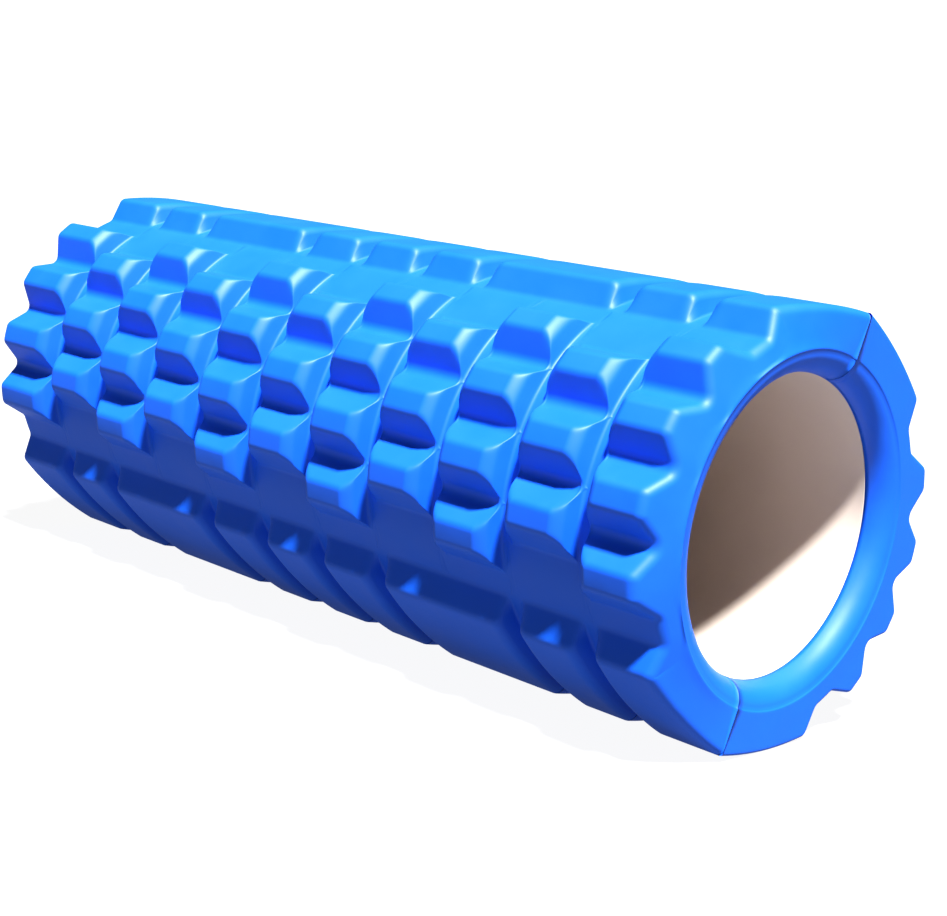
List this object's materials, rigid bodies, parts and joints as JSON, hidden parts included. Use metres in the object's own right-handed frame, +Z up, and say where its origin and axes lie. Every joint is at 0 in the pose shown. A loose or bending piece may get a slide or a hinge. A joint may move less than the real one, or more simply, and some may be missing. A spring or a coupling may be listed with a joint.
{
  "type": "foam roller",
  "caption": "Hollow massage foam roller: moulded foam sleeve with staggered blocks and cross ribs, glued around a rigid plastic core tube open at both ends.",
  "frame": {"origin": "middle of the roller, on the axis of the core tube", "axes": "+X along the core tube's axis, +Z up with the roller lying on the floor on one of its ribbed flats, +Y across"},
  "size_m": [0.33, 0.14, 0.1358],
  "materials": {
    "eva_foam": "moulded closed-cell EVA foam, satin skin, bright blue",
    "core_plastic": "smooth extruded plastic, off-white, slight sheen"
  },
  "bodies": {
    "root": {"core_tube": "core_plastic", "foam_shell_front": "eva_foam", "foam_shell_rear": "eva_foam"}
  },
  "joints": []
}
